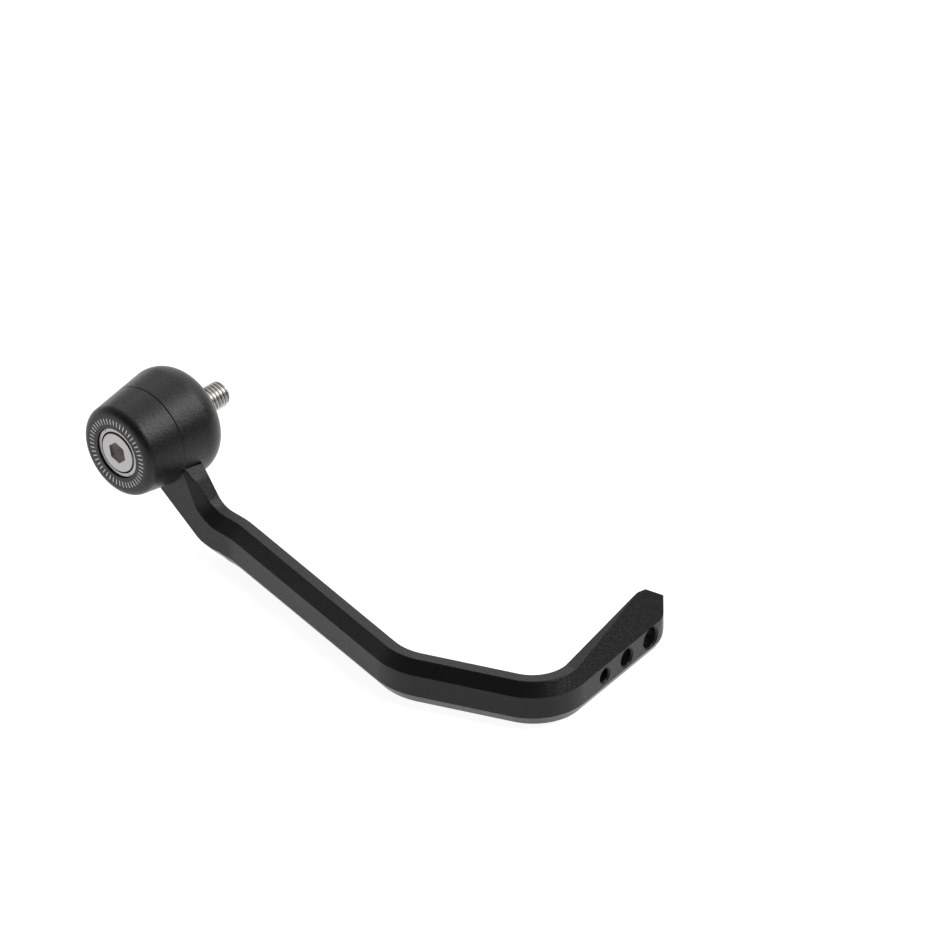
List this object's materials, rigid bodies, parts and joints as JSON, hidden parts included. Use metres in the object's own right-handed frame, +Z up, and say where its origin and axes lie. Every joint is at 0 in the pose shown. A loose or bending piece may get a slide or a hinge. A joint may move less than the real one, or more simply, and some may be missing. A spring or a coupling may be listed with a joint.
{
  "type": "brake lever guard",
  "caption": "Curved arm clamped in a tapered bar end, bolted to the end of a motorcycle handlebar to keep the brake lever from being pressed by contact.",
  "frame": {"origin": "on the screw's axis, in the plane of the seat disc's rear face, where the handlebar's end seats", "axes": "+X inboard along the handlebar and the screw, -Y forwards, +Z up, for the right-hand end of the bar"},
  "size_m": [0.078, 0.1756, 0.0476],
  "materials": {
    "arm_nylon": "black, fine even grain, satin",
    "cover_nylon": "black, coarse moulded grain",
    "turned_steel": "stainless steel, turned",
    "screw_steel": "stainless steel, plain",
    "ring_rubber": "black rubber"
  },
  "bodies": {
    "root": {"guard_arm": "arm_nylon", "front_cover": "cover_nylon", "rear_cover": "cover_nylon", "head_cup": "turned_steel", "seat_disc": "turned_steel", "cap_screw": "screw_steel", "screw_ring": "ring_rubber"}
  },
  "joints": []
}
